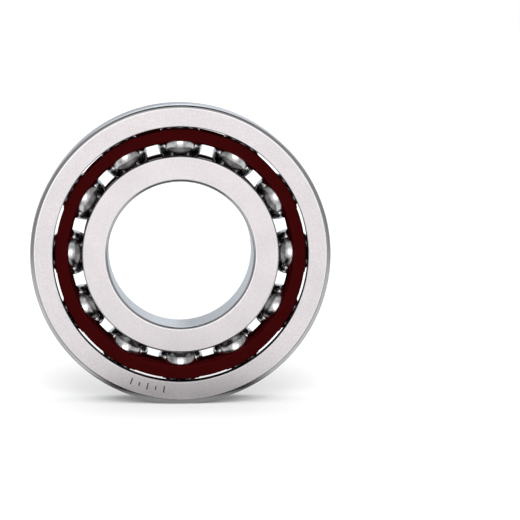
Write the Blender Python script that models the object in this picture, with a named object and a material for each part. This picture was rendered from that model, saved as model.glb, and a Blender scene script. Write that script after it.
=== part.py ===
"""Single-row angular contact ball bearing, 30 x 62 x 16 mm, 15 degree contact.

The bearing stands on its rim.  Its axis is the Y axis and its middle plane is
the XZ plane, so the origin is the centre of the bearing.  The thrust face,
the one with the high outer shoulder, looks towards -Y.  Lengths are metres.
"""
import math

import bmesh
import bpy
from mathutils import Matrix, Vector

MM = 0.001

# ---------------------------------------------------------------- dimensions
OUTER_RADIUS = 31.0 * MM          # outside diameter 62 mm
BORE_RADIUS = 15.0 * MM           # bore 30 mm
HALF_WIDTH = 8.0 * MM             # width 16 mm
BALL_RADIUS = 4.7625 * MM         # 9.525 mm (3/8 inch) balls
BALL_COUNT = 12
PITCH_RADIUS = 23.0 * MM          # ball centres, halfway from bore to rim
CLEARANCE = 0.3 * MM              # ball to groove and ball to cage pocket
CONTACT_ANGLE = math.radians(15.0)

# outer ring
OUTER_CORNER = 1.0 * MM           # corner radius on the outside diameter
OUTER_LAND = 26.3 * MM            # high shoulder, at the thrust face
OUTER_LAND_END = 4.9 * MM         # where the high shoulder ends, from centre
OUTER_LAND_BREAK = 26.75 * MM     # radius where the shoulder meets the groove
OUTER_MOUTH = 0.2 * MM            # edge break from thrust face to shoulder
RELIEF_START = 27.75 * MM         # counterbore, where it leaves the groove
RELIEF_END = 28.25 * MM           # counterbore, at the narrow face
RELIEF_MOUTH = 0.35 * MM

# inner ring
INNER_CORNER = 0.65 * MM          # corner radius at the bore
INNER_LAND_FRONT = 20.3 * MM      # shoulder at the thrust face
INNER_LAND_BACK = 20.5 * MM       # higher shoulder, carries the thrust
INNER_EDGE = 0.3 * MM             # corner from shoulder to side face

# cage
CAGE_OUTER = 25.95 * MM           # lands of the cage, beside each ball
CAGE_RECESS = 25.79 * MM          # shallow recesses between the balls
CAGE_CHAMFER = 0.15 * MM          # steep chamfer on the outer edges: depth
CAGE_CHAMFER_LONG = 0.5 * MM      # and length along the axis
CAGE_HALF_WIDTH = 6.9 * MM
CAGE_RIM_INNER = 23.35 * MM       # inside of the two rims
CAGE_BAR_INNER = 22.95 * MM       # inside of the bars between the balls
CAGE_RIM_END = 5.06 * MM
CAGE_BAR_END = 3.45 * MM
CAGE_EDGE = 0.15 * MM
POCKET_RADIUS = BALL_RADIUS + CLEARANCE

RING_STEPS = 72                   # flats round each ring, a flat at the bottom
# Stations of one cage pitch, in degrees from the ball: (angle, in a recess).
CAGE_STATIONS = ((2.5, False), (8.2, False), (8.6, True), (12.5, True),
                 (17.5, True), (21.4, True), (21.8, False), (27.5, False))
POCKET_STEPS = 28


# ------------------------------------------------------------------- helpers
def arc(centre_r, centre_y, radius, start_deg, end_deg, steps):
    """Points (radius, y) along an arc; 0 degrees points away from the axis."""
    points = []
    for i in range(steps + 1):
        a = math.radians(start_deg + (end_deg - start_deg) * i / steps)
        points.append((centre_r + radius * math.cos(a),
                       centre_y + radius * math.sin(a)))
    return points


def groove_y(radius):
    """Distance from the middle plane at which the groove has this radius."""
    return math.sqrt((BALL_RADIUS + CLEARANCE) ** 2
                     - (radius - PITCH_RADIUS) ** 2)


def finish_mesh(name, bm, material, location=(0.0, 0.0, 0.0)):
    bmesh.ops.recalc_face_normals(bm, faces=bm.faces[:])
    mesh = bpy.data.meshes.new(name)
    bm.to_mesh(mesh)
    bm.free()
    mesh.materials.append(material)
    mesh.shade_smooth()
    mesh.set_sharp_from_angle(angle=math.radians(28.0))
    obj = bpy.data.objects.new(name, mesh)
    obj.location = location
    bpy.context.scene.collection.objects.link(obj)
    return obj


def turned_mesh(profile, steps):
    """Turn a closed profile of (radius, y) about the Y axis.

    The flats, not the corners, lie on the stated radii.
    """
    turns = [(2.0 * math.pi * (i + 0.5) / steps, profile) for i in range(steps)]
    return lofted_mesh(turns, 1.0 / math.cos(math.pi / steps))


def lofted_mesh(turns, grow):
    """Join the profiles of (angle, profile) round the Y axis."""
    bm = bmesh.new()
    loops = [[bm.verts.new((r * grow * math.sin(a), y, r * grow * math.cos(a)))
              for r, y in profile] for a, profile in turns]
    count = len(turns[0][1])
    for i, here in enumerate(loops):
        there = loops[(i + 1) % len(loops)]
        for j in range(count):
            k = (j + 1) % count
            bm.faces.new((here[j], here[k], there[k], there[j]))
    return bm


def make_material(name, colour, roughness, metallic):
    mat = bpy.data.materials.new(name)
    mat.use_nodes = True
    bsdf = mat.node_tree.nodes["Principled BSDF"]
    bsdf.inputs["Base Color"].default_value = (*colour, 1.0)
    bsdf.inputs["Roughness"].default_value = roughness
    bsdf.inputs["Metallic"].default_value = metallic
    mat.diffuse_color = (*colour, 1.0)
    return mat


# --------------------------------------------------------------------- parts
def outer_ring_profile():
    y_in = groove_y(OUTER_LAND_BREAK)
    y_out = groove_y(RELIEF_START)
    groove = BALL_RADIUS + CLEARANCE
    a0 = -math.degrees(math.asin(y_in / groove))
    a1 = math.degrees(math.asin(y_out / groove))
    p = []
    p += arc(OUTER_RADIUS - OUTER_CORNER, -HALF_WIDTH + OUTER_CORNER,
             OUTER_CORNER, 0.0, -90.0, 3)
    p += [(OUTER_LAND + OUTER_MOUTH, -HALF_WIDTH),
          (OUTER_LAND, -HALF_WIDTH + OUTER_MOUTH),
          (OUTER_LAND, -OUTER_LAND_END)]
    p += arc(PITCH_RADIUS, 0.0, groove, a0, a1, 7)
    p += [(RELIEF_END, HALF_WIDTH - RELIEF_MOUTH),
          (RELIEF_END + RELIEF_MOUTH, HALF_WIDTH)]
    p += arc(OUTER_RADIUS - OUTER_CORNER, HALF_WIDTH - OUTER_CORNER,
             OUTER_CORNER, 90.0, 0.0, 3)
    return p


def inner_ring_profile():
    y_front = groove_y(INNER_LAND_FRONT)
    y_back = groove_y(INNER_LAND_BACK)
    groove = BALL_RADIUS + CLEARANCE
    a0 = 180.0 + math.degrees(math.asin(y_front / groove))
    a1 = 180.0 - math.degrees(math.asin(y_back / groove))
    p = []
    p += arc(BORE_RADIUS + INNER_CORNER, -HALF_WIDTH + INNER_CORNER,
             INNER_CORNER, 180.0, 270.0, 2)
    p += arc(INNER_LAND_FRONT - INNER_EDGE, -HALF_WIDTH + INNER_EDGE,
             INNER_EDGE, -90.0, 0.0, 2)
    p += arc(PITCH_RADIUS, 0.0, groove, a0, a1, 10)
    p += arc(INNER_LAND_BACK - INNER_EDGE, HALF_WIDTH - INNER_EDGE,
             INNER_EDGE, 0.0, 90.0, 2)
    p += arc(BORE_RADIUS + INNER_CORNER, HALF_WIDTH - INNER_CORNER,
             INNER_CORNER, 90.0, 180.0, 2)
    return p


def cage_profile(outer):
    w, e = CAGE_HALF_WIDTH, CAGE_EDGE
    c, long = CAGE_CHAMFER, CAGE_CHAMFER_LONG
    return [(outer, -w + long), (outer - c, -w),
            (CAGE_RIM_INNER + e, -w), (CAGE_RIM_INNER, -w + e),
            (CAGE_RIM_INNER, -CAGE_RIM_END), (CAGE_BAR_INNER, -CAGE_BAR_END),
            (CAGE_BAR_INNER, CAGE_BAR_END), (CAGE_RIM_INNER, CAGE_RIM_END),
            (CAGE_RIM_INNER, w - e), (CAGE_RIM_INNER + e, w),
            (outer - c, w), (outer, w - long)]


def cage_mesh():
    land, recess = cage_profile(CAGE_OUTER), cage_profile(CAGE_RECESS)
    turns = [(math.radians(30.0 * i + angle), recess if low else land)
             for i in range(BALL_COUNT) for angle, low in CAGE_STATIONS]
    return lofted_mesh(turns, 1.0 / math.cos(math.radians(2.5)))


def ball_direction(index):
    """Unit vector from the axis to a ball; ball 1 is at the top."""
    a = 2.0 * math.pi * index / BALL_COUNT
    return Vector((math.sin(a), 0.0, math.cos(a)))


def ball_spin_axis(index):
    """Square to the line of contact, in the plane through the bearing axis."""
    return (ball_direction(index) * math.sin(CONTACT_ANGLE)
            + Vector((0.0, 1.0, 0.0)) * math.cos(CONTACT_ANGLE))


def pocket_cutters():
    """Twelve radial drills, one through each pocket of the cage."""
    bm = bmesh.new()
    inner, outer = 21.0 * MM, 27.5 * MM
    for i in range(BALL_COUNT):
        out = ball_direction(i)
        turn = out.to_track_quat("Z", "Y").to_matrix().to_4x4()
        place = Matrix.Translation(out * (inner + outer) / 2.0) @ turn
        bmesh.ops.create_cone(bm, cap_ends=True, segments=POCKET_STEPS,
                              radius1=POCKET_RADIUS, radius2=POCKET_RADIUS,
                              depth=outer - inner, matrix=place)
    return bm


def main():
    for old in list(bpy.data.objects):
        bpy.data.objects.remove(old, do_unlink=True)

    outer_steel = make_material("outer_ring_steel", (0.74, 0.72, 0.72), 0.34, 1.0)
    inner_steel = make_material("inner_ring_steel", (0.76, 0.74, 0.74), 0.32, 1.0)
    ball_steel = make_material("ball_steel", (0.86, 0.86, 0.87), 0.05, 1.0)
    cage_resin = make_material("cage_resin", (0.045, 0.004, 0.004), 0.55, 0.0)

    finish_mesh("outer_ring", turned_mesh(outer_ring_profile(), RING_STEPS),
                outer_steel)
    finish_mesh("inner_ring", turned_mesh(inner_ring_profile(), RING_STEPS),
                inner_steel)

    cutter = finish_mesh("pocket_drills", pocket_cutters(), cage_resin)
    cutter.hide_render = True
    cutter.display_type = "WIRE"
    cage = finish_mesh("cage", cage_mesh(), cage_resin)
    cut = cage.modifiers.new("pockets", "BOOLEAN")
    cut.operation = "DIFFERENCE"
    cut.solver = "EXACT"
    cut.object = cutter

    ball_bm = bmesh.new()
    bmesh.ops.create_icosphere(ball_bm, subdivisions=3, radius=BALL_RADIUS)
    first = finish_mesh("ball_01", ball_bm, ball_steel)
    for i in range(BALL_COUNT):
        ball = first
        if i:
            ball = bpy.data.objects.new("ball_%02d" % (i + 1), first.data)
            bpy.context.scene.collection.objects.link(ball)
        ball.location = ball_direction(i) * PITCH_RADIUS
        ball.rotation_mode = "QUATERNION"
        ball.rotation_quaternion = ball_spin_axis(i).to_track_quat("Z", "Y")


main()
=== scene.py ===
"""Looks of the angular contact bearing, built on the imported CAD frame."""
import math

import bmesh
import bpy
from mathutils import Matrix, Vector


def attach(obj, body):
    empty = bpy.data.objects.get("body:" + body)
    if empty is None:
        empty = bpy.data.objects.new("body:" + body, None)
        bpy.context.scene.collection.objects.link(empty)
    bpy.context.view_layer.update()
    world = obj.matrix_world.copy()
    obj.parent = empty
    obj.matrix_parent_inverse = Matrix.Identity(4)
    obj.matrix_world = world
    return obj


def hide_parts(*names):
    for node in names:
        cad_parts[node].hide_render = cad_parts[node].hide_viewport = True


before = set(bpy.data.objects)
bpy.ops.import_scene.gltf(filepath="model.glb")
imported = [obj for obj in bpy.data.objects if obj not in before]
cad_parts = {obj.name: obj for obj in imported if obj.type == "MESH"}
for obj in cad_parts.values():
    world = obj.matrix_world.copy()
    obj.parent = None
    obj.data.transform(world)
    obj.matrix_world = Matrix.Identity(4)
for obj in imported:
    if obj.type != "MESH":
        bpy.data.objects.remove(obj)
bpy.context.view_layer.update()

MM = 0.001


# ---------------------------------------------------------------- dimensions
# The same shape as the CAD solids, turned fine.
OUTER_RADIUS = 31.0
BORE_RADIUS = 15.0
HALF_WIDTH = 8.0
BALL_RADIUS = 4.7625
BALL_COUNT = 12
PITCH_RADIUS = 23.0
GROOVE = 4.95                     # groove radius, as a real raceway hugs the ball
CONTACT_ANGLE = math.radians(15.0)

OUTER_CORNER = 1.0
OUTER_LAND = 26.3
OUTER_LAND_END = 4.9
OUTER_LAND_BREAK = 26.75
OUTER_MOUTH = 0.2
RELIEF_START = 27.75
RELIEF_END = 28.25
RELIEF_MOUTH = 0.35

INNER_CORNER = 0.65
INNER_LAND_FRONT = 20.3
INNER_LAND_BACK = 20.5
INNER_EDGE = 0.3

CAGE_OUTER = 25.95                # lands of the cage, beside each ball
CAGE_RECESS = 25.79               # shallow recesses between the balls
CAGE_CHAMFER, CAGE_CHAMFER_LONG = 0.15, 0.5
RECESS_FROM, RECESS_TO = 8.2, 8.6 # degrees from a ball, over the step
CAGE_HALF_WIDTH = 6.9
CAGE_RIM_INNER = 23.35
CAGE_BAR_INNER = 22.95
CAGE_RIM_END = 5.06
CAGE_BAR_END = 3.45
CAGE_EDGE = 0.15
POCKET_RADIUS = 5.0625

RING_STEPS = 288
POCKET_STEPS = 72
SUPPORT = 0.035                   # loops that keep flats flat beside the rounds


# ------------------------------------------------------------- node helpers
class Nodes:
    """A short way to write node trees."""

    def __init__(self, tree):
        self.tree = tree
        tree.nodes.clear()

    def new(self, kind, **props):
        node = self.tree.nodes.new(kind)
        for key, value in props.items():
            setattr(node, key, value)
        return node

    def put(self, socket, value):
        if isinstance(value, bpy.types.NodeSocket):
            self.tree.links.new(value, socket)
        elif value is not None:
            socket.default_value = value

    def math(self, op, a, b=None, c=None, clamp=False):
        node = self.new("ShaderNodeMath", operation=op, use_clamp=clamp)
        self.put(node.inputs[0], a)
        self.put(node.inputs[1], b)
        self.put(node.inputs[2], c)
        return node.outputs[0]

    def ramp(self, value, lo, hi, out_lo=0.0, out_hi=1.0, smooth=False):
        node = self.new("ShaderNodeMapRange", clamp=True)
        if smooth:
            node.interpolation_type = "SMOOTHSTEP"
        self.put(node.inputs["Value"], value)
        self.put(node.inputs["From Min"], lo)
        self.put(node.inputs["From Max"], hi)
        self.put(node.inputs["To Min"], out_lo)
        self.put(node.inputs["To Max"], out_hi)
        return node.outputs["Result"]

    def mix(self, factor, a, b):
        node = self.new("ShaderNodeMix", data_type="RGBA")
        self.put(node.inputs[0], factor)
        self.put(node.inputs[6], a)
        self.put(node.inputs[7], b)
        return node.outputs[2]

    def blend(self, factor, a, b):
        node = self.new("ShaderNodeMix", data_type="FLOAT")
        self.put(node.inputs[0], factor)
        self.put(node.inputs[2], a)
        self.put(node.inputs[3], b)
        return node.outputs[0]

    def join(self, x, y, z):
        node = self.new("ShaderNodeCombineXYZ")
        for socket, value in zip(node.inputs, (x, y, z)):
            self.put(socket, value)
        return node.outputs[0]

    def split(self, vector):
        node = self.new("ShaderNodeSeparateXYZ")
        self.put(node.inputs[0], vector)
        return node.outputs[0], node.outputs[1], node.outputs[2]

    def object_coords(self):
        return self.new("ShaderNodeTexCoord").outputs["Object"]

    def noise(self, vector, scale, detail=2.0, rough=0.5, distortion=0.0):
        node = self.new("ShaderNodeTexNoise", noise_dimensions="3D")
        self.put(node.inputs["Vector"], vector)
        self.put(node.inputs["Scale"], scale)
        self.put(node.inputs["Detail"], detail)
        self.put(node.inputs["Roughness"], rough)
        self.put(node.inputs["Distortion"], distortion)
        return node.outputs["Fac"]

    def bump(self, height, strength, distance):
        node = self.new("ShaderNodeBump")
        self.put(node.inputs["Height"], height)
        self.put(node.inputs["Strength"], strength)
        self.put(node.inputs["Distance"], distance)
        return node.outputs["Normal"]

    def principled(self, **sockets):
        bsdf = self.new("ShaderNodeBsdfPrincipled")
        out = self.new("ShaderNodeOutputMaterial")
        self.tree.links.new(bsdf.outputs[0], out.inputs["Surface"])
        for name, value in sockets.items():
            self.put(bsdf.inputs[name.replace("_", " ")], value)
        return bsdf


def material(name):
    mat = bpy.data.materials.new(name)
    mat.use_nodes = True
    return mat, Nodes(mat.node_tree)


def polar(n):
    """Radius from the bearing axis, place along it, and a seamless angle."""
    x, y, z = n.split(n.object_coords())
    r = n.math("SQRT", n.math("ADD", n.math("MULTIPLY", x, x),
                              n.math("MULTIPLY", z, z)))
    return r, y, n.math("DIVIDE", x, r), n.math("DIVIDE", z, r)


# ---------------------------------------------------------------- materials
def ground_face(name, light, dark, rough):
    """Side faces: ground flat, satin, fine grain with faint circular lines."""
    mat, n = material(name)
    r, y, cx, cz = polar(n)
    where = n.object_coords()
    lines = n.noise(n.join(n.math("MULTIPLY", r, 9000.0),
                           n.math("MULTIPLY", cx, 5.0),
                           n.math("MULTIPLY", cz, 5.0)), 1.0, 3.0, 0.6)
    grain = n.noise(where, 3600.0, 3.0, 0.65)
    cloud = n.noise(where, 160.0, 3.0, 0.55)
    height = n.math("ADD", n.math("MULTIPLY", grain, 0.75),
                    n.math("MULTIPLY", lines, 0.35))
    tone = n.math("ADD", n.math("MULTIPLY", grain, 0.7),
                  n.math("MULTIPLY", cloud, 0.3))
    n.principled(
        Base_Color=n.mix(n.ramp(tone, 0.33, 0.67), (*dark, 1.0), (*light, 1.0)),
        Metallic=1.0,
        Roughness=n.ramp(n.math("ADD", n.math("MULTIPLY", cloud, 0.6),
                                n.math("MULTIPLY", lines, 0.4)),
                         0.3, 0.7, rough - 0.05, rough + 0.05),
        Normal=n.bump(height, 0.55, 6.0e-6))
    return mat


def ground_round(name, light, dark, rough, pitch=11000.0, depth=3.0e-6,
                 edge=(1.0, 1.0, 1.0, 1.0)):
    """Turned and ground round surfaces: fine lines round the axis."""
    mat, n = material(name)
    r, y, cx, cz = polar(n)
    along = n.math("ADD", n.math("MULTIPLY", y, pitch),
                   n.math("MULTIPLY", r, pitch * 0.8))
    lines = n.noise(n.join(along, n.math("MULTIPLY", cx, 4.0),
                           n.math("MULTIPLY", cz, 4.0)), 1.0, 3.0, 0.6)
    grain = n.noise(n.object_coords(), 5200.0, 2.0, 0.6)
    cloud = n.noise(n.object_coords(), 220.0, 3.0, 0.55)
    tone = n.math("ADD", n.math("MULTIPLY", lines, 0.6),
                  n.math("MULTIPLY", cloud, 0.4))
    n.principled(
        Base_Color=n.mix(n.ramp(tone, 0.32, 0.68), (*dark, 1.0), (*light, 1.0)),
        Metallic=1.0,
        Specular_Tint=edge,
        Roughness=n.ramp(tone, 0.3, 0.7, rough - 0.04, rough + 0.05),
        Normal=n.bump(n.math("ADD", n.math("MULTIPLY", lines, 0.8),
                             n.math("MULTIPLY", grain, 0.25)), 0.5, depth))
    return mat


def lapped_ball():
    """Lapped balls: mirror bright, with hair-fine scratches all ways."""
    mat, n = material("ball_lapped_steel")
    where = n.object_coords()
    x, y, z = n.split(where)
    one = n.noise(n.join(n.math("MULTIPLY", x, 9000.0),
                         n.math("MULTIPLY", y, 700.0),
                         n.math("MULTIPLY", z, 700.0)), 1.0, 2.0, 0.6, 0.4)
    two = n.noise(n.join(n.math("MULTIPLY", x, 600.0),
                         n.math("MULTIPLY", y, 8000.0),
                         n.math("MULTIPLY", z, 900.0)), 1.0, 2.0, 0.6, 0.4)
    haze = n.noise(where, 420.0, 3.0, 0.6)
    scratch = n.math("ADD", n.math("MULTIPLY", one, 0.5),
                     n.math("MULTIPLY", two, 0.5))
    n.principled(
        Base_Color=n.mix(n.ramp(haze, 0.35, 0.65),
                         (0.88, 0.88, 0.88, 1.0), (0.94, 0.94, 0.94, 1.0)),
        Metallic=1.0,
        Roughness=n.ramp(haze, 0.3, 0.7, 0.12, 0.20),
        Normal=n.bump(scratch, 0.35, 5.0e-7))
    return mat


def laminate_resin():
    """Cotton-filled phenolic resin, machined: matt, dark red, faint cloth; painted
    light on the inner surfaces and the outside diameter, painted shade on the
    outer chamfers.
    """
    mat, n = material("cage_phenolic_resin")
    where = n.object_coords()
    x, y, z = n.split(where)
    warp = n.noise(n.join(n.math("MULTIPLY", x, 3400.0),
                          n.math("MULTIPLY", y, 600.0),
                          n.math("MULTIPLY", z, 500.0)), 1.0, 2.0, 0.55)
    weft = n.noise(n.join(n.math("MULTIPLY", x, 500.0),
                          n.math("MULTIPLY", y, 600.0),
                          n.math("MULTIPLY", z, 3400.0)), 1.0, 2.0, 0.55)
    grain = n.noise(where, 4200.0, 3.0, 0.65)
    cloud = n.noise(where, 300.0, 3.0, 0.6)
    cloth = n.math("MAXIMUM", warp, weft)
    tone = n.math("ADD", n.math("MULTIPLY", cloth, 0.45),
                  n.math("ADD", n.math("MULTIPLY", grain, 0.25),
                         n.math("MULTIPLY", cloud, 0.3)))
    faces = n.mix(n.ramp(tone, 0.38, 0.66), (0.020, 0.0012, 0.0014, 1.0),
                  (0.026, 0.0016, 0.0018, 1.0))
    # painted light: the inner surfaces and pocket walls are toned twice as light
    # as the faces, standing in for light that doesn't reach them
    inside = n.mix(n.ramp(tone, 0.38, 0.66), (0.041, 0.0025, 0.0028, 1.0),
                   (0.052, 0.0032, 0.0036, 1.0))
    # painted light: the outside diameter, shaded under the outer ring, is toned
    # about eight times as light as the faces so it reads lit
    turned = n.mix(n.ramp(tone, 0.38, 0.66), (0.17, 0.0100, 0.0115, 1.0),
                   (0.22, 0.0132, 0.0150, 1.0))
    depth = n.math("ABSOLUTE", y)
    # painted shade: the outer chamfers are toned near black, a dark line between
    # the face and the outside
    turned = n.mix(n.ramp(depth, 6.36 * MM, 6.42 * MM), turned,
                   (0.005, 0.0003, 0.0004, 1.0))       # the chamfers
    r = polar(n)[0]
    inside = n.mix(n.ramp(r, 25.50 * MM, 25.60 * MM), inside, turned)
    n.principled(
        Base_Color=n.mix(n.ramp(depth, 6.86 * MM, 6.89 * MM), inside, faces),
        Metallic=0.0,
        Roughness=n.ramp(tone, 0.35, 0.68, 0.80, 0.68),
        Specular_IOR_Level=0.0,
        Normal=n.bump(tone, 0.6, 1.2e-5))
    return mat


def etched_steel():
    """Bottom of the etched marks: dark, rough, slightly mottled."""
    mat, n = material("etched_mark_steel")
    grain = n.noise(n.object_coords(), 6000.0, 3.0, 0.65)
    n.principled(
        Base_Color=n.mix(n.ramp(grain, 0.35, 0.65),
                         (0.045, 0.045, 0.048, 1.0), (0.12, 0.118, 0.12, 1.0)),
        Metallic=0.8,
        Roughness=n.ramp(grain, 0.3, 0.7, 0.5, 0.7),
        Normal=n.bump(grain, 0.6, 8.0e-6))
    return mat


FACE_OUTER = ground_face("outer_ring_ground_face", (0.88, 0.85, 0.86),
                         (0.67, 0.64, 0.65), 0.36)
FACE_INNER = ground_face("inner_ring_ground_face", (0.865, 0.835, 0.845),
                         (0.70, 0.67, 0.68), 0.36)
ROUND_OUTER = ground_round("outer_ring_ground_seat", (0.77, 0.78, 0.80),
                           (0.67, 0.68, 0.70), 0.20)
ROUND_INNER = ground_round("inner_ring_ground_bore", (0.79, 0.80, 0.82),
                           (0.70, 0.71, 0.73), 0.22)
CORNER = ground_round("ring_turned_corner", (0.80, 0.80, 0.81),
                      (0.70, 0.70, 0.71), 0.16)
GRAZING_SHADE = (0.12, 0.12, 0.125, 1.0)  # painted shade: darkens the reflections of raceways and lands seen edge on, so the gap between the rings reads dark
# painted shade: raceways and lands are toned darker than the faces, so the cavity
# between the rings reads dark
RACE = ground_round("ring_honed_raceway", (0.48, 0.48, 0.49),
                    (0.40, 0.40, 0.41), 0.13, 16000.0, 1.0e-6, GRAZING_SHADE)
LAND = ground_round("ring_turned_land", (0.54, 0.54, 0.55),
                    (0.45, 0.45, 0.46), 0.17, edge=GRAZING_SHADE)
BALL = lapped_ball()
RESIN = laminate_resin()
ETCH = etched_steel()


# ----------------------------------------------------------------- profiles
class Profile:
    """A closed half section of (radius, y, material of the piece after it)."""

    def __init__(self):
        self.points = []

    def arc(self, centre, radius, start, end, steps, mat):
        for i in range(steps + 1):
            a = math.radians(start + (end - start) * i / steps)
            self.point(centre[0] + radius * math.cos(a),
                       centre[1] + radius * math.sin(a), mat)
        return self

    def point(self, r, y, mat):
        if self.points:
            last = self.points[-1]
            if math.hypot(last[0] - r, last[1] - y) < 1e-6:
                self.points[-1] = (r, y, mat)
                return self
        self.points.append((r, y, mat))
        return self

    def line_from_last(self, mat):
        """The straight piece that starts at the last point takes this material."""
        r, y, _ = self.points[-1]
        self.points[-1] = (r, y, mat)
        return self

    def supported(self):
        """Adds a loop just inside both ends of every long straight piece."""
        out = []
        count = len(self.points)
        for i in range(count):
            r0, y0, mat = self.points[i]
            r1, y1, _ = self.points[(i + 1) % count]
            out.append((r0, y0, mat))
            length = math.hypot(r1 - r0, y1 - y0)
            if length > 0.6:
                for t in (SUPPORT / length, 1.0 - SUPPORT / length):
                    out.append((r0 + (r1 - r0) * t, y0 + (y1 - y0) * t, mat))
        return out


def groove_y(radius):
    return math.sqrt(GROOVE ** 2 - (radius - PITCH_RADIUS) ** 2)


def outer_ring_profile():
    face, seat, corner, race, land = range(5)
    y_in, y_out = groove_y(OUTER_LAND_BREAK), groove_y(RELIEF_START)
    a0 = -math.degrees(math.asin(y_in / GROOVE))
    a1 = math.degrees(math.asin(y_out / GROOVE))
    c, w = OUTER_CORNER, HALF_WIDTH
    p = Profile()
    p.arc((OUTER_RADIUS - c, -w + c), c, 0.0, -90.0, 14, corner)
    p.line_from_last(face)
    p.arc((OUTER_LAND + OUTER_MOUTH, -w + OUTER_MOUTH), OUTER_MOUTH,
          -90.0, -180.0, 5, corner)
    p.line_from_last(land)
    p.point(OUTER_LAND, -OUTER_LAND_END, land)
    p.arc((PITCH_RADIUS, 0.0), GROOVE, a0, a1, 36, race)
    p.line_from_last(land)
    p.point(RELIEF_END, w - RELIEF_MOUTH, corner)
    p.point(RELIEF_END + RELIEF_MOUTH, w, face)
    p.arc((OUTER_RADIUS - c, w - c), c, 90.0, 0.0, 14, corner)
    p.line_from_last(seat)
    return p.supported()


def inner_ring_profile():
    face, seat, corner, race, land = range(5)
    y_front, y_back = groove_y(INNER_LAND_FRONT), groove_y(INNER_LAND_BACK)
    a0 = 180.0 + math.degrees(math.asin(y_front / GROOVE))
    a1 = 180.0 - math.degrees(math.asin(y_back / GROOVE))
    c, e, w = INNER_CORNER, INNER_EDGE, HALF_WIDTH
    p = Profile()
    p.arc((BORE_RADIUS + c, -w + c), c, 180.0, 270.0, 12, corner)
    p.line_from_last(face)
    p.arc((INNER_LAND_FRONT - e, -w + e), e, -90.0, 0.0, 7, corner)
    p.line_from_last(land)
    p.arc((PITCH_RADIUS, 0.0), GROOVE, a0, a1, 40, race)
    p.line_from_last(land)
    p.arc((INNER_LAND_BACK - e, w - e), e, 0.0, 90.0, 7, corner)
    p.line_from_last(face)
    p.arc((BORE_RADIUS + c, w - c), c, 90.0, 180.0, 12, corner)
    p.line_from_last(seat)
    return p.supported()


def cage_profile(outer):
    w, e = CAGE_HALF_WIDTH, CAGE_EDGE
    c, long = CAGE_CHAMFER, CAGE_CHAMFER_LONG
    p = Profile()
    p.point(outer, -w + long + 0.05, 0)
    p.point(outer - 0.01, -w + long - 0.05, 0)
    p.point(outer - c, -w + 0.02, 0)
    p.point(outer - c - 0.02, -w, 0)
    p.arc((CAGE_RIM_INNER + e, -w + e), e, -90.0, -180.0, 4, 0)
    p.point(CAGE_RIM_INNER, -CAGE_RIM_END, 0)
    p.point(CAGE_BAR_INNER, -CAGE_BAR_END, 0)
    p.point(CAGE_BAR_INNER, CAGE_BAR_END, 0)
    p.point(CAGE_RIM_INNER, CAGE_RIM_END, 0)
    p.arc((CAGE_RIM_INNER + e, w - e), e, 180.0, 90.0, 4, 0)
    p.point(outer - c - 0.02, w, 0)
    p.point(outer - c, w - 0.02, 0)
    p.point(outer - 0.01, w - long + 0.05, 0)
    p.point(outer, w - long - 0.05, 0)
    return p.supported()


def cage_turns():
    """(angle, profile) round the cage: lands at the balls, recesses between."""
    land, recess = cage_profile(CAGE_OUTER), cage_profile(CAGE_RECESS)
    mid = cage_profile((CAGE_OUTER + CAGE_RECESS) / 2.0)
    half = (RECESS_FROM + RECESS_TO) / 2.0
    quarter = ([(v * RECESS_FROM / 6.0, land) for v in range(7)]
               + [(half, mid)]
               + [(RECESS_TO + (15.0 - RECESS_TO) * v / 5.0, recess)
                  for v in range(6)])
    turns = []
    for i in range(BALL_COUNT):
        turns += [(30.0 * i + a, p) for a, p in quarter]
        turns += [(30.0 * (i + 1) - a, p) for a, p in quarter[-2:0:-1]]
    return [(math.radians(a), p) for a, p in turns]


# ------------------------------------------------------------------- meshes
def turned(profile, steps):
    return lofted([(2.0 * math.pi * (i + 0.5) / steps, profile)
                   for i in range(steps)])


def lofted(turns):
    """Joins the profiles of (angle, profile) round the bearing axis."""
    bm = bmesh.new()
    loops = [[bm.verts.new((r * MM * math.sin(a), y * MM, r * MM * math.cos(a)))
              for r, y, _ in profile] for a, profile in turns]
    profile = turns[0][1]
    count = len(profile)
    for i, here in enumerate(loops):
        there = loops[(i + 1) % len(loops)]
        for j in range(count):
            k = (j + 1) % count
            quad = bm.faces.new((here[j], here[k], there[k], there[j]))
            quad.material_index = profile[j][2]
    return bm


def make_object(name, bm, mats, location=(0.0, 0.0, 0.0)):
    bmesh.ops.recalc_face_normals(bm, faces=bm.faces[:])
    mesh = bpy.data.meshes.new(name)
    bm.to_mesh(mesh)
    bm.free()
    for mat in mats:
        mesh.materials.append(mat)
    obj = bpy.data.objects.new(name, mesh)
    obj.location = location
    bpy.context.scene.collection.objects.link(obj)
    return obj


def smooth(obj, degrees):
    obj.data.shade_smooth()
    obj.data.set_sharp_from_angle(angle=math.radians(degrees))


def baked(obj):
    """Replaces the mesh with its modifiers' result."""
    graph = bpy.context.evaluated_depsgraph_get()
    mesh = bpy.data.meshes.new_from_object(obj.evaluated_get(graph),
                                           preserve_all_data_layers=True,
                                           depsgraph=graph)
    obj.modifiers.clear()
    old = obj.data
    obj.data = mesh
    bpy.data.meshes.remove(old)
    mesh.name = obj.name
    return obj


def cut(obj, cutter_bm, cutter_mats, transfer=False):
    cutter = make_object(obj.name + "_cutter", cutter_bm, cutter_mats)
    mod = obj.modifiers.new("cut", "BOOLEAN")
    mod.operation = "DIFFERENCE"
    mod.solver = "EXACT"
    mod.object = cutter
    if transfer:
        mod.material_mode = "TRANSFER"
    baked(obj)
    mesh = cutter.data
    bpy.data.objects.remove(cutter, do_unlink=True)
    bpy.data.meshes.remove(mesh)
    return obj


def ball_direction(index):
    a = 2.0 * math.pi * index / BALL_COUNT
    return Vector((math.sin(a), 0.0, math.cos(a)))


def ball_spin_axis(index):
    return (ball_direction(index) * math.sin(CONTACT_ANGLE)
            + Vector((0.0, 1.0, 0.0)) * math.cos(CONTACT_ANGLE))


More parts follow.
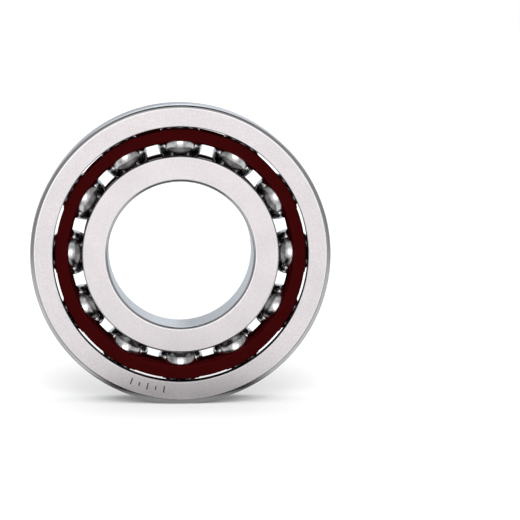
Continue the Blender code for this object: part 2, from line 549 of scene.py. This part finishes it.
def mark_cutter():
    """Five plain strokes, etched 0.05 mm deep into the thrust face."""
    bm = bmesh.new()
    middle, pitch = 28.1, 3.55
    for i, (tall, wide) in enumerate(((1.40, 0.26), (0.80, 0.26), (1.40, 0.26),
                                      (0.80, 0.26), (1.40, 0.26))):
        a = math.radians(248.6 + pitch * i)      # from +X towards +Z
        out = Vector((math.cos(a), 0.0, math.sin(a)))
        side = Vector((-math.sin(a), 0.0, math.cos(a)))
        verts = []
        for y in (-HALF_WIDTH - 0.3, -HALF_WIDTH + 0.05):
            for s, t in ((-1, -1), (1, -1), (1, 1), (-1, 1)):
                at = out * (middle + t * tall / 2) + side * (s * wide / 2)
                verts.append(bm.verts.new((at.x * MM, y * MM, at.z * MM)))
        for quad in ((0, 1, 2, 3), (4, 5, 6, 7), (0, 1, 5, 4), (1, 2, 6, 5),
                     (2, 3, 7, 6), (3, 0, 4, 7)):
            bm.faces.new([verts[q] for q in quad])
    return bm


def pocket_cutter():
    bm = bmesh.new()
    inner, outer = 21.0, 27.5
    for i in range(BALL_COUNT):
        out = ball_direction(i)
        turn = out.to_track_quat("Z", "Y").to_matrix().to_4x4()
        place = Matrix.Translation(out * MM * (inner + outer) / 2.0) @ turn
        bmesh.ops.create_cone(bm, cap_ends=True, segments=POCKET_STEPS,
                              radius1=POCKET_RADIUS * MM,
                              radius2=POCKET_RADIUS * MM,
                              depth=(outer - inner) * MM, matrix=place)
    return bm


# ------------------------------------------------------------------- pieces
outer = make_object("outer_ring_turned", turned(outer_ring_profile(), RING_STEPS),
                    [FACE_OUTER, ROUND_OUTER, CORNER, RACE, LAND])
cut(outer, mark_cutter(), [ETCH], transfer=True)
smooth(outer, 30.0)
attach(outer, "outer_ring")
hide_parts("outer_ring")

inner = make_object("inner_ring_turned", turned(inner_ring_profile(), RING_STEPS),
                    [FACE_INNER, ROUND_INNER, CORNER, RACE, LAND])
smooth(inner, 30.0)
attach(inner, "inner_ring")
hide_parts("inner_ring")

cage = make_object("cage_drilled", lofted(cage_turns()), [RESIN])
cut(cage, pocket_cutter(), [RESIN])
smooth(cage, 30.0)
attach(cage, "cage")
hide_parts("cage")

for i in range(BALL_COUNT):
    node = "ball_%02d" % (i + 1)
    ball_bm = bmesh.new()
    bmesh.ops.create_icosphere(ball_bm, subdivisions=5, radius=BALL_RADIUS * MM)
    ball = make_object(node + "_lapped", ball_bm, [BALL],
                       ball_direction(i) * PITCH_RADIUS * MM)
    ball.rotation_mode = "QUATERNION"
    ball.rotation_quaternion = ball_spin_axis(i).to_track_quat("Z", "Y")
    ball.data.shade_smooth()
    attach(ball, node)
    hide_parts(node)


# -------------------------------------------------------------------- stage
FLOOR = -OUTER_RADIUS * MM


def paper(name, light, dark):
    mat, n = material(name)
    tone = n.noise(n.object_coords(), 60.0, 3.0, 0.6)
    n.principled(Base_Color=n.mix(tone, (*dark, 1.0), (*light, 1.0)),
                 Roughness=0.9, Specular_IOR_Level=0.0)
    return mat


def shaded_floor():
    """Sheet that only the steel sees: painted reflection of the floor, a painted
    glow at the foot and painted shade round it.
    """
    mat, n = material("floor_near_painted_reflection")
    where = n.object_coords()
    x, y, z = n.split(where)
    out = n.math("SQRT", n.math("ADD", n.math("MULTIPLY", x, x),
                                n.math("MULTIPLY", y, y)))
    grain = n.noise(where, 60.0, 3.0, 0.6)
    glow = n.new("ShaderNodeEmission")
    n.put(glow.inputs["Color"], n.mix(grain, (0.94, 0.92, 0.93, 1.0),
                                      (1.0, 0.98, 0.99, 1.0)))
    # painted light and shade: a faint glow within 11 mm of the foot, black beyond
    # 20 mm, seen only in reflections
    n.put(glow.inputs["Strength"],
          n.ramp(out, 11.0 * MM, 20.0 * MM, 0.30, 0.0, True))
    fade = n.new("ShaderNodeMixShader")
    n.put(fade.inputs[0],
          n.math("MAXIMUM",
                 n.ramp(out, 40.0 * MM, 72.0 * MM, 0.0, 1.0, True),
                 n.ramp(n.math("ABSOLUTE", x), 13.0 * MM, 27.0 * MM, 0.0, 1.0,
                        True)))
    n.tree.links.new(glow.outputs[0], fade.inputs[1])
    n.tree.links.new(n.new("ShaderNodeBsdfTransparent").outputs[0],
                     fade.inputs[2])
    n.tree.links.new(fade.outputs[0],
                     n.new("ShaderNodeOutputMaterial").inputs["Surface"])
    mat.cycles.emission_sampling = "NONE"
    return mat


def make_floor():
    """The pale floor, and a small sheet under its middle that only the steel sees:
    a painted reflection of the floor.
    """
    bm = bmesh.new()
    bmesh.ops.create_grid(bm, x_segments=1, y_segments=1, size=30.0)
    floor = make_object("floor", bm,
                        [paper("floor_pale_paper", (0.86, 0.86, 0.86),
                               (0.84, 0.84, 0.84))], (0.0, 0.0, FLOOR))
    floor.visible_glossy = False
    bm = bmesh.new()
    bmesh.ops.create_circle(bm, cap_ends=True, segments=64, radius=0.074)
    near = make_object("floor_near", bm, [shaded_floor()],
                       (0.0, 0.0, FLOOR - 0.0002))
    near.visible_camera = False
    near.visible_diffuse = False
    near.visible_shadow = False


# Light levels of the studio by elevation, as the steel mirrors it.
HEIGHTS = (-90, -50, -25, -12, -4, 4, 14, 28, 45, 60, 90)
FRONT = (0.60, 0.66, 0.42, 0.92, 1.62, 1.84, 1.05, 0.42, 0.42, 0.03, 0.02)
BESIDE = (0.60, 0.60, 0.25, 0.47, 0.40, 0.60, 0.43, 0.41, 0.48, 0.02, 0.02)
SIDE = (0.56, 0.64, 0.56, 0.50, 0.30, 0.26, 0.26, 0.26, 0.24, 0.04, 0.02)
FLANK = (0.50, 0.65, 0.75, 0.50, 0.28, 0.24, 0.25, 0.32, 0.38, 0.45, 0.16)
BEHIND = (0.45, 0.35, 0.50, 0.62, 0.66, 0.60, 0.60, 0.62, 0.70, 1.45, 0.40)
DOME = 0.37                       # even light that only matt surfaces take


def band(n, place, levels, tint):
    """Light level against elevation, for one direction round the studio."""
    node = n.new("ShaderNodeValToRGB")
    n.put(node.inputs[0], place)
    stops = node.color_ramp.elements
    while len(stops) < len(levels):
        stops.new(0.5)
    for stop, height, level in zip(stops, HEIGHTS, levels):
        stop.position = (height + 90.0) / 180.0
        stop.color = (*(level * t for t in tint), 1.0)
    return node.outputs[0]


def make_world():
    world = bpy.data.worlds.new("studio")
    bpy.context.scene.world = world
    world.use_nodes = True
    n = Nodes(world.node_tree)
    x, y, z = n.split(n.new("ShaderNodeTexCoord").outputs["Generated"])
    deg = math.radians
    place = n.ramp(n.math("ARCSINE", z), deg(-90), deg(90))
    away = n.math("ABSOLUTE", n.math("ARCTAN2", x, n.math("MULTIPLY", y, -1.0)))
    warm, grey, cool = (1.02, 1.0, 1.005), (1.0, 1.0, 1.0), (0.95, 1.0, 1.07)
    # a white card ahead, grey to the sides, a pale backdrop up behind
    lit = band(n, place, FRONT, warm)
    for levels, tint, start, end in ((BESIDE, warm, 11, 19), (SIDE, grey, 24, 36),
                                     (FLANK, grey, 70, 90),
                                     (BEHIND, cool, 100, 125)):
        lit = n.mix(n.ramp(away, deg(start), deg(end), 0.0, 1.0, True),
                    lit, band(n, place, levels, tint))
    # folds in the cloths and stands between them, which bright balls pick up
    folds = n.noise(n.join(n.math("MULTIPLY", x, 5.0), n.math("MULTIPLY", y, 5.0),
                           n.math("MULTIPLY", z, 1.6)), 1.0, 2.0, 0.55, 1.2)
    folds = n.ramp(folds, 0.32, 0.68, 0.55, 1.45)
    scale = n.new("ShaderNodeVectorMath", operation="SCALE")
    n.put(scale.inputs[0], lit)
    n.put(scale.inputs["Scale"], folds)
    lit = scale.outputs[0]
    path = n.new("ShaderNodeLightPath")
    lit = n.mix(path.outputs["Is Glossy Ray"], (DOME, DOME, DOME, 1.0), lit)
    background = n.new("ShaderNodeBackground")
    n.put(background.inputs["Color"],
          n.mix(path.outputs["Is Camera Ray"], lit, (1.0, 1.0, 1.0, 1.0)))
    out = n.new("ShaderNodeOutputWorld")
    world.node_tree.links.new(background.outputs[0], out.inputs["Surface"])
    world.cycles.sampling_method = "NONE"


def key_light(name, elevation, azimuth, spread, strength):
    """A broad soft light that the steel doesn't mirror."""
    light = bpy.data.lights.new(name, "SUN")
    light.energy = strength
    light.angle = math.radians(spread)
    obj = bpy.data.objects.new(name, light)
    e, a = math.radians(elevation), math.radians(azimuth)
    source = Vector((math.sin(a) * math.cos(e), -math.cos(a) * math.cos(e),
                     math.sin(e)))
    obj.location = source
    obj.rotation_mode = "QUATERNION"
    obj.rotation_quaternion = (-source).to_track_quat("-Z", "Y")
    obj.visible_camera = False
    obj.visible_glossy = False
    bpy.context.scene.collection.objects.link(obj)


def make_camera():
    data = bpy.data.cameras.new("camera")
    data.sensor_width = 36.0
    data.lens = 193.43
    data.clip_start = 0.01
    data.clip_end = 50.0
    camera = bpy.data.objects.new("camera", data)
    camera.location = (-0.0079, -0.5813, 0.0477)
    camera.rotation_euler = (math.radians(90.0 - 4.866), 0.0,
                             math.radians(-2.4197))
    bpy.context.scene.collection.objects.link(camera)
    bpy.context.scene.camera = camera


make_floor()
make_world()
key_light("key_low", 12.0, 0.0, 25.0, 1.33)
key_light("key_front", 25.0, 0.0, 25.0, 1.25)
key_light("key_high", 40.0, 0.0, 30.0, 0.84)
key_light("fill_left", 30.0, -55.0, 40.0, 0.72)
key_light("fill_right", 30.0, 55.0, 40.0, 0.72)
key_light("rim_left", 35.0, -110.0, 60.0, 0.52)
key_light("rim_right", 35.0, 110.0, 60.0, 0.52)
key_light("rim_behind", 45.0, 180.0, 60.0, 0.93)
make_camera()
bpy.context.scene.view_settings.view_transform = "Standard"

bpy.context.view_layer.update()
